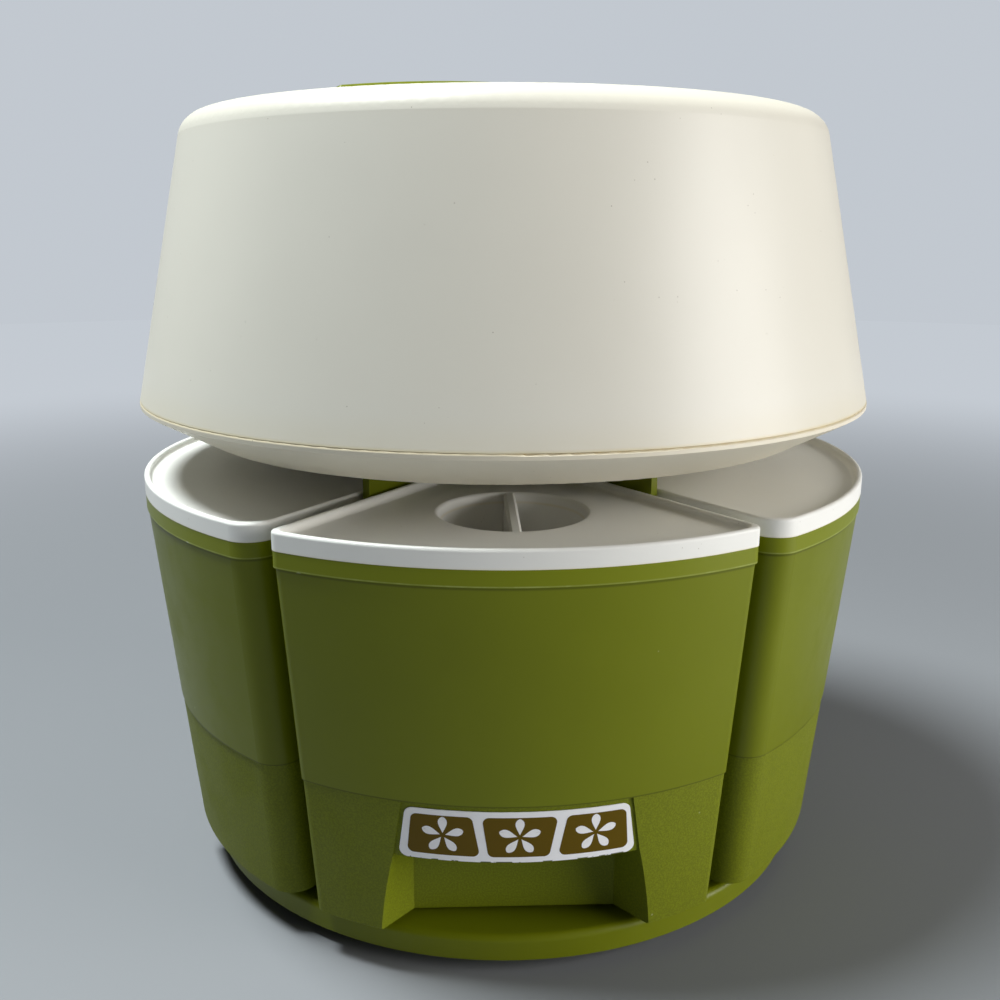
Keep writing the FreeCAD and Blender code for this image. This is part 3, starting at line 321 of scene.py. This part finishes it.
class CarouselColours(bpy.types.PropertyGroup):
    cover: FloatVectorProperty(name="Cover", description="Cream of the cake cover",
                               subtype="COLOR", default=(0.76, 0.73, 0.64), min=0.0, max=1.0)
    tray: FloatVectorProperty(name="Tray", description="Cream of the cake tray",
                              subtype="COLOR", default=(0.78, 0.72, 0.58), min=0.0, max=1.0)
    lids: FloatVectorProperty(name="Lids", description="Off-white of the canister lids",
                              subtype="COLOR", default=(0.88, 0.875, 0.83), min=0.0, max=1.0)
    smooth_green: FloatVectorProperty(name="Smooth green",
                                      description="Green of the canisters' smooth upper zone",
                                      subtype="COLOR", default=(0.163, 0.190, 0.003),
                                      min=0.0, max=1.0)
    grained_green: FloatVectorProperty(name="Grained green",
                                       description="Green of the canisters' grained lower zone",
                                       subtype="COLOR", default=(0.163, 0.190, 0.004),
                                       min=0.0, max=1.0)
    patch: FloatVectorProperty(name="Label patches", description="Brown of the label's patches",
                               subtype="COLOR", default=(0.122, 0.076, 0.001),
                               min=0.0, max=1.0)
    paper: FloatVectorProperty(name="Label", description="White of the label",
                               subtype="COLOR", default=(0.93, 0.93, 0.95), min=0.0, max=1.0)


class CarouselPrint(bpy.types.PropertyGroup):
    patch_height: FloatProperty(name="Patch height", description="Height of a printed patch",
                                default=0.0158, unit="LENGTH")
    patch_corner: FloatProperty(name="Patch corner", description="Rounding of a printed patch",
                                default=0.0022, unit="LENGTH")
    petal_length: FloatProperty(name="Petal length", description="Length of a printed petal",
                                default=0.0074, unit="LENGTH")
    petal_width: FloatProperty(name="Petal width", description="Width of a printed petal",
                               default=0.0031, unit="LENGTH")


class CarouselStage(bpy.types.PropertyGroup):
    floor: FloatVectorProperty(name="Floor", description="Colour of the floor",
                               subtype="COLOR", default=(0.24, 0.25, 0.265), min=0.0, max=1.0)
    key_power: FloatProperty(name="Key light", description="Power of the large soft light",
                             default=23.0, min=0.0, unit="POWER")
    side_power: FloatProperty(name="Side light", description="Power of the light at the side",
                              default=41.0, min=0.0, unit="POWER")
    sky: FloatProperty(name="Room light", description="Strength of the light from all round",
                       default=0.11, min=0.0)


# Finishes

def cream_plastic(name, colour, levels, dirt=1.0):
    """Satin cream plastic: faint mottling, a yellowed edge near some levels, specks, scuffs."""
    made = Finish(name)
    cloud = made.noise(9.0, 3.0, 0.55)
    fine = made.noise(60.0, 4.0, 0.6)
    shade = made.blend(cloud.rise(0.35, 0.7) * 0.5, colour, [part * 0.94 for part in colour])
    warm = (colour[0] * 0.93, colour[1] * 0.86, colour[2] * 0.68)
    for level, reach, share in levels:
        edge = made.z.near(level, reach) * (share * (0.5 + fine))
        shade = made.blend(edge.smaller(1.0), shade, warm)
    grime = made.scratches(38.0, (1.0, 1.0, 0.25), 0.22) * (0.35 * dirt)
    shade = made.blend(grime, shade, (0.33, 0.28, 0.20))
    shade = made.blend(made.specks(300.0, 0.36, 0.07) * (0.6 * dirt), shade,
                       (0.22, 0.17, 0.11))
    rub = made.noise(22.0, 6.0, 0.65, (1.0, 1.0, 0.4)).rise(0.45, 0.75)
    grain = made.noise(1500.0, 2.0, 0.5)
    wave = made.noise(30.0, 1.0, 0.4)
    normal = made.bump(grain, 0.00002, 0.5, made.bump(wave, 0.0004, 0.25))
    return made.finish(normal, base_color=shade, roughness=0.40 + rub * 0.10,
                       specular_ior_level=0.45, ior=1.50)


def olive_plastic(name, smooth, grained):
    """Satin olive plastic. With a grained colour, it is matt and finely pitted below the
    canisters' grain level, with a painted shadow line at that level. Its rim band is painted
    lighter than the wall below as painted light, with a painted highlight and some wear along
    its lower edge and a painted shadow just under it."""
    made = Finish(name)
    cloud = made.noise(14.0, 4.0, 0.55)
    shade = made.blend(cloud.rise(0.3, 0.75) * 0.5, smooth, [part * 0.86 for part in smooth])
    wave = made.noise(24.0, 1.0, 0.4)
    normal = made.bump(wave, 0.0005, 0.22)
    gloss = 0.36 + made.noise(40.0, 5.0, 0.6).rise(0.4, 0.8) * 0.12
    if grained:
        lower = made.z.fall(GRAIN_LEVEL - 0.0003, GRAIN_LEVEL + 0.0001)
        pits = made.noise(1500.0, 3.0, 0.6)
        pitted = made.blend(pits.rise(0.40, 0.64), [part * 0.86 for part in grained],
                            [part * 1.12 for part in grained])
        shade = made.blend(lower, shade, pitted)
        # Painted shadow: a dark line at the grain level, under the step where the smooth upper wall
        # stands proud of the grained zone
        line = made.z.near(GRAIN_LEVEL + 0.0001, 0.0006) * 0.7
        shade = made.blend(line, shade, [part * 0.35 for part in smooth])
        # Painted light: the rim band is painted lighter than the wall below, as it faces straight
        # out while the wall leans to face down
        band = made.z.rise(BAND_LEVEL - 0.0001, BAND_LEVEL + 0.0001)
        shade = made.blend(band * 0.5, shade, [part * 1.3 for part in smooth])
        # Painted highlight: a continuous light line along the band's lower edge, stronger in
        # patches of wear
        edge_highlight_and_wear = 0.35 + made.noise(160.0, 3.0, 0.6).rise(0.40, 0.7) * 0.45
        shade = made.blend(made.z.near(BAND_LEVEL + 0.0003, 0.0004) * edge_highlight_and_wear, shade,
                           (0.36, 0.41, 0.12))
        # Painted shadow: a dark line just under the band's lower edge
        shade = made.blend(made.z.near(BAND_LEVEL - 0.0006, 0.0008) * 0.5, shade,
                           [part * 0.3 for part in smooth])
        nicks = made.z.near(BAND_LEVEL, 0.0006) * made.noise(110.0, 1.0, 0.4).rise(0.72, 0.75)
        shade = made.blend(nicks * 0.8, shade, (0.55, 0.58, 0.44))
        gloss = gloss + lower * 0.18
        normal = made.bump(pits * lower, 0.00008, 0.8, normal)
    scuff = made.scratches(30.0, (1.0, 1.0, 0.3), 0.20) * 0.16
    shade = made.blend(scuff, shade, (0.28, 0.31, 0.12))
    shade = made.blend(made.specks(170.0, 0.24, 0.09) * 0.7, shade, (0.36, 0.40, 0.20))
    return made.finish(normal, base_color=shade, roughness=gloss,
                       specular_ior_level=0.24, ior=1.49)


def metal(name, colour, roughness, brushed):
    """Bare or plated steel with fine turning marks and slightly dulled patches."""
    made = Finish(name)
    dull = made.noise(140.0, 4.0, 0.6)
    lines = made.noise(900.0, 1.0, 0.5, brushed)
    shade = made.blend(dull.rise(0.4, 0.8) * 0.5, colour, [part * 0.7 for part in colour])
    normal = made.bump(lines, 0.00002, 0.6)
    return made.finish(normal, base_color=shade, metallic=1.0,
                       roughness=roughness + dull * 0.15)


def dull_polymer(name, colour, roughness, scale):
    """Rubber or nylon: fine even grain with a dusty bloom."""
    made = Finish(name)
    grain = made.noise(scale, 3.0, 0.6)
    bloom = made.noise(120.0, 3.0, 0.6).rise(0.45, 0.8)
    shade = made.blend(bloom * 0.35, colour, [part * 1.5 + 0.01 for part in colour])
    normal = made.bump(grain, 0.00005, 0.7)
    return made.finish(normal, base_color=shade, roughness=roughness + bloom * 0.08)


def label_vinyl(name, colour, yellow=0.25):
    """Printed vinyl: an even sheen with faint yellowing and a few fine marks."""
    made = Finish(name)
    stain = made.noise(90.0, 4.0, 0.6).rise(0.5, 0.8) * yellow
    shade = made.blend(stain, colour, (colour[0] * 0.9, colour[1] * 0.84, colour[2] * 0.66))
    chips = (made.z.fall(LABEL_BOTTOM + 0.0001, LABEL_BOTTOM + 0.0005)
             * made.noise(260.0, 2.0, 0.6).rise(0.50, 0.54))
    shade = made.blend(chips, shade, (0.05, 0.06, 0.01))
    marks = made.scratches(150.0, (1.0, 1.0, 0.4), 0.3) * 0.4
    shade = made.blend(marks, shade, [part * 0.6 for part in colour])
    normal = made.bump(made.noise(700.0, 2.0, 0.5), 0.00001, 0.4)
    return made.finish(normal, base_color=shade, roughness=0.38, specular_ior_level=0.15)


# Operators

class FinishCover(bpy.types.Operator):
    """Gives the cake cover its satin cream plastic"""
    bl_idname = "carousel.finish_cover"
    bl_label = "Cake cover"

    def execute(self, context):
        colour = tuple(context.scene.carousel_colours.cover)
        paint(cream_plastic("satin cream cover", colour,
                            [(SEAM_LEVEL, 0.0011, 0.9), (SEAM_LEVEL, 0.012, 0.25),
                             (SHOULDER_LEVEL, 0.012, 0.12)]), "cake_cover")
        return {"FINISHED"}


class FinishTray(bpy.types.Operator):
    """Gives the cake tray its slightly yellower cream plastic"""
    bl_idname = "carousel.finish_tray"
    bl_label = "Cake tray"

    def execute(self, context):
        colour = tuple(context.scene.carousel_colours.tray)
        paint(cream_plastic("satin cream tray", colour, [(SEAM_LEVEL, 0.0012, 0.9)]),
              "cake_tray")
        return {"FINISHED"}


class FinishLids(bpy.types.Operator):
    """Gives the four canister lids their off-white plastic"""
    bl_idname = "carousel.finish_lids"
    bl_label = "Canister lids"

    def execute(self, context):
        colour = tuple(context.scene.carousel_colours.lids)
        paint(cream_plastic("off-white lids", colour, [(RIM_LEVEL, 0.0008, 0.5)], 0.7),
              *["lid_" + side for side in SIDES])
        return {"FINISHED"}


class FinishGreen(bpy.types.Operator):
    """Gives the canisters, turntable, divider, foot and handle their olive plastic"""
    bl_idname = "carousel.finish_green"
    bl_label = "Green pieces"

    def execute(self, context):
        colours = context.scene.carousel_colours
        smooth = tuple(colours.smooth_green)
        paint(olive_plastic("olive canisters", smooth, tuple(colours.grained_green)),
              *["canister_" + side for side in SIDES])
        paint(olive_plastic("olive frame", smooth, None), "turntable", "divider", "foot_base",
              "cover_handle")
        return {"FINISHED"}


class FinishBearing(bpy.types.Operator):
    """Gives the races, balls, cage, screws, pivot and pads their steel, nylon and rubber"""
    bl_idname = "carousel.finish_bearing"
    bl_label = "Bearing and fasteners"

    def execute(self, context):
        paint(metal("race steel", (0.42, 0.42, 0.43), 0.30, (0.1, 0.1, 4.0)),
              "lower_race", "upper_race")
        paint(metal("ball steel", (0.60, 0.60, 0.61), 0.10, (1.0, 1.0, 1.0)), "bearing_balls")
        paint(metal("zinc steel", (0.55, 0.56, 0.57), 0.28, (1.0, 1.0, 5.0)),
              "pivot_bolt", "pivot_washer", "pivot_nut", "divider_screws", "handle_screws",
              "handle_washers")
        paint(dull_polymer("natural nylon", (0.62, 0.60, 0.52), 0.45, 900.0),
              "ball_cage", "tray_peg")
        paint(dull_polymer("dark rubber", (0.022, 0.022, 0.024), 0.70, 700.0), "foot_pads")
        return {"FINISHED"}


class PrintLabels(bpy.types.Operator):
    """Prints three brown patches with a plain five-petal flower on each label"""
    bl_idname = "carousel.print_labels"
    bl_label = "Label prints"

    def execute(self, context):
        colours = context.scene.carousel_colours
        paper = label_vinyl("white label", tuple(colours.paper))
        paint(paper, *["label_" + side for side in SIDES])
        brown = label_vinyl("brown print", tuple(colours.patch), 0.1)
        white = label_vinyl("white print", tuple(colours.paper))
        for side, facing in SIDES.items():
            self.print_side(context.scene.carousel_print, side, facing, brown, white)
        return {"FINISHED"}

    @staticmethod
    def on_label(flat, lift):
        """Flat label points (across, up) laid on the label of the front canister. The label is
        part of a cone, so its radius grows evenly with height; lift is the height above it."""
        low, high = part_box("label_front")
        foot = -low.y - LABEL_SLOPE * (high.z - low.z)
        radius = foot + LABEL_SLOPE * (flat[..., 1] - low.z) + lift
        across = flat[..., 0]
        return np.stack([across, -np.sqrt(radius ** 2 - across ** 2), flat[..., 1]], axis=-1)

    def sheet(self, name, outline, middle, lift, material, rings):
        """A patch between its middle and its outline: ring k lies k/rings of the way out."""
        share = np.linspace(0.0, 1.0, rings + 1)[:, None, None]
        flat = middle + (outline[None, :, :] - middle) * share
        return surface(name, self.on_label(flat, lift), material, closed=True)

    def print_side(self, sizes, side, facing, brown, white):
        low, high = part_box("label_front")
        patches = []
        petals = []
        for corners in self.patch_corners((low.z + high.z) / 2, sizes.patch_height / 2):
            outline = round_polygon(corners, sizes.patch_corner, 12)
            centre = np.mean(corners, axis=0)
            patches.append(self.sheet("patch", outline, centre, PATCH_LIFT, brown, 10))
            centre = centre + FLOWER_SHIFT
            for petal in range(PETAL_COUNT):
                degrees = 90.0 + 360.0 / PETAL_COUNT * petal
                petals.append(self.petal(sizes, centre, degrees, white))
        for name, pieces in (("label_patches_", patches), ("label_petals_", petals)):
            piece = join(name + side, pieces)
            self.turn(piece, facing + 90.0)
            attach(piece, "canister_%s_body" % side)

    @staticmethod
    def patch_corners(middle, up):
        """Corners of the three patches. The outer ones are wider below, the middle one above."""
        levels = (middle - up, middle - up, middle + up, middle + up)
        return [list(zip(ends, levels)) for ends in PATCH_ENDS]

    def petal(self, sizes, centre, degrees, material):
        """A teardrop petal. Along its length t in 0 to 1 its half width is
        width/2 * sin(pi * t ** 1.7) ** 0.62, so it is narrow inside and round outside."""
        along = np.linspace(0.0, 1.0, 25) ** 0.9
        half = sizes.petal_width / 2 * np.abs(np.sin(np.pi * along ** 1.7)) ** 0.62
        out = sizes.petal_length * (0.12 + 0.88 * along)
        loop = np.concatenate([np.stack([out, half], -1), np.stack([out, -half], -1)[::-1]])
        angle = math.radians(degrees)
        turn = np.array([[math.cos(angle), math.sin(angle)],
                         [-math.sin(angle), math.cos(angle)]])
        middle = np.array([sizes.petal_length * 0.66, 0.0]) @ turn + centre
        return self.sheet("petal", loop @ turn + centre, middle, PETAL_LIFT, material, 4)

    @staticmethod
    def turn(piece, degrees):
        """Turns a piece's points about the vertical axis, so that the piece stays at its origin."""
        count = len(piece.data.vertices)
        places = np.empty(count * 3)
        piece.data.vertices.foreach_get("co", places)
        places = turned(places.reshape(-1, 3), degrees)
        piece.data.vertices.foreach_set("co", places.ravel())
        piece.data.update()


class BuildStage(bpy.types.Operator):
    """Sets out the pale floor, the soft light and the camera"""
    bl_idname = "carousel.build_stage"
    bl_label = "Stage"

    def execute(self, context):
        stage = context.scene.carousel_stage
        self.lay_floor(tuple(stage.floor))
        self.light_room(context, stage.sky)
        self.hang_light(context, "right light", *RIGHT_LIGHT, stage.key_power)
        self.hang_light(context, "left light", *LEFT_LIGHT, stage.side_power)
        self.place_camera(context)
        return {"FINISHED"}

    @staticmethod
    def lay_floor(colour):
        """A disc that melts into the wall. Its rings lie closer together near the middle: ring
        k of n has the floor's radius times (k/n) squared."""
        made = Finish("pale floor")
        tone = made.noise(3.0, 3.0, 0.5)
        shade = made.blend(tone * 0.2, colour, [part * 0.95 for part in colour])
        far = made.radius().rise(0.35, 1.5)
        made.finish(base_color=made.blend(far, shade, (0.0, 0.0, 0.0)), roughness=0.6,
                    emission_color=(*WALL_COLOUR, 1.0), emission_strength=far)
        radius = (FLOOR_RADIUS * np.linspace(0.0, 1.0, FLOOR_RINGS + 1) ** 2)[:, None]
        angle = np.linspace(0.0, 2 * np.pi, FLOOR_SPOKES + 1)[:-1]
        points = np.stack([radius * np.cos(angle), radius * np.sin(angle),
                           np.zeros((FLOOR_RINGS + 1, FLOOR_SPOKES))], axis=-1)
        surface("floor", points, made.material, closed=True)

    @staticmethod
    def light_room(context, strength):
        """The room's light fades from behind the object to in front of it. The camera sees an
        even pale wall."""
        world = bpy.data.worlds.new("room")
        context.scene.world = world
        world.use_nodes = True
        room = NodeBoard(world.node_tree)
        ahead, up = room.split(room.add("ShaderNodeTexCoord", output="Generated"))[1:]
        glow = 0.35 + ahead.rise(-0.6, 0.9) * 0.5 + up.rise(0.2, 1.0) * 0.35
        seen = room.add("ShaderNodeLightPath", output="Is Camera Ray")
        background = room.tree.nodes["Background"]
        wall = room.blend(seen, SKY_COLOUR, WALL_COLOUR)
        room.tree.links.new(wall.socket, background.inputs["Color"])
        level = glow * strength * (1.0 - seen) + seen
        room.tree.links.new(level.socket, background.inputs["Strength"])

    @staticmethod
    def hang_light(context, name, place, target, colour, size, power):
        """A round light that faces its target."""
        light = bpy.data.lights.new(name, "AREA")
        light.shape = "DISK"
        light.size = size
        light.energy = power
        light.color = colour
        lamp = bpy.data.objects.new(name, light)
        context.scene.collection.objects.link(lamp)
        lamp.location = place
        across, ahead, up = np.array(target) - np.array(place)
        lamp.rotation_euler = (math.atan2(math.hypot(across, ahead), -up), 0.0,
                               math.atan2(ahead, across) - math.pi / 2)

    @staticmethod
    def place_camera(context):
        data = bpy.data.cameras.new("camera")
        data.sensor_fit = "HORIZONTAL"
        data.sensor_width = CAMERA_SENSOR
        data.lens = CAMERA_LENS
        data.clip_start = 0.01
        camera = bpy.data.objects.new("camera", data)
        context.scene.collection.objects.link(camera)
        camera.matrix_world = (
            Matrix.Rotation(math.radians(CAMERA_TURN), 4, "Z")
            @ Matrix.Translation(CAMERA_PLACE)
            @ Matrix.Rotation(math.radians(90.0 - CAMERA_TILT), 4, "X")
            @ Matrix.Rotation(math.radians(CAMERA_ROLL), 4, "Z"))
        context.scene.camera = camera
        context.scene.view_settings.view_transform = "Standard"


class CarouselPanel(bpy.types.Panel):
    """Lists the steps that dress the carousel"""
    bl_idname = "VIEW3D_PT_carousel"
    bl_label = "Carousel"
    bl_space_type = "VIEW_3D"
    bl_region_type = "UI"
    bl_category = "Carousel"

    def draw(self, context):
        scene = context.scene
        for group in (scene.carousel_colours, scene.carousel_print, scene.carousel_stage):
            for name in group.__annotations__:
                self.layout.prop(group, name)
        for step in STEPS:
            self.layout.operator(step.bl_idname)


STEPS = (BuildStage, FinishCover, FinishTray, FinishLids, FinishGreen, FinishBearing,
         PrintLabels)
GROUPS = {"carousel_colours": CarouselColours, "carousel_print": CarouselPrint,
          "carousel_stage": CarouselStage}


def register():
    for kind in (*GROUPS.values(), *STEPS, CarouselPanel):
        bpy.utils.register_class(kind)
    for name, group in GROUPS.items():
        setattr(bpy.types.Scene, name, PointerProperty(type=group))


def unregister():
    for name in GROUPS:
        delattr(bpy.types.Scene, name)
    for kind in (CarouselPanel, *reversed(STEPS), *GROUPS.values()):
        bpy.utils.unregister_class(kind)


def main():
    register()
    for step in STEPS:
        family, action = step.bl_idname.split(".")
        getattr(getattr(bpy.ops, family), action)()


if __name__ == "__main__":
    main()
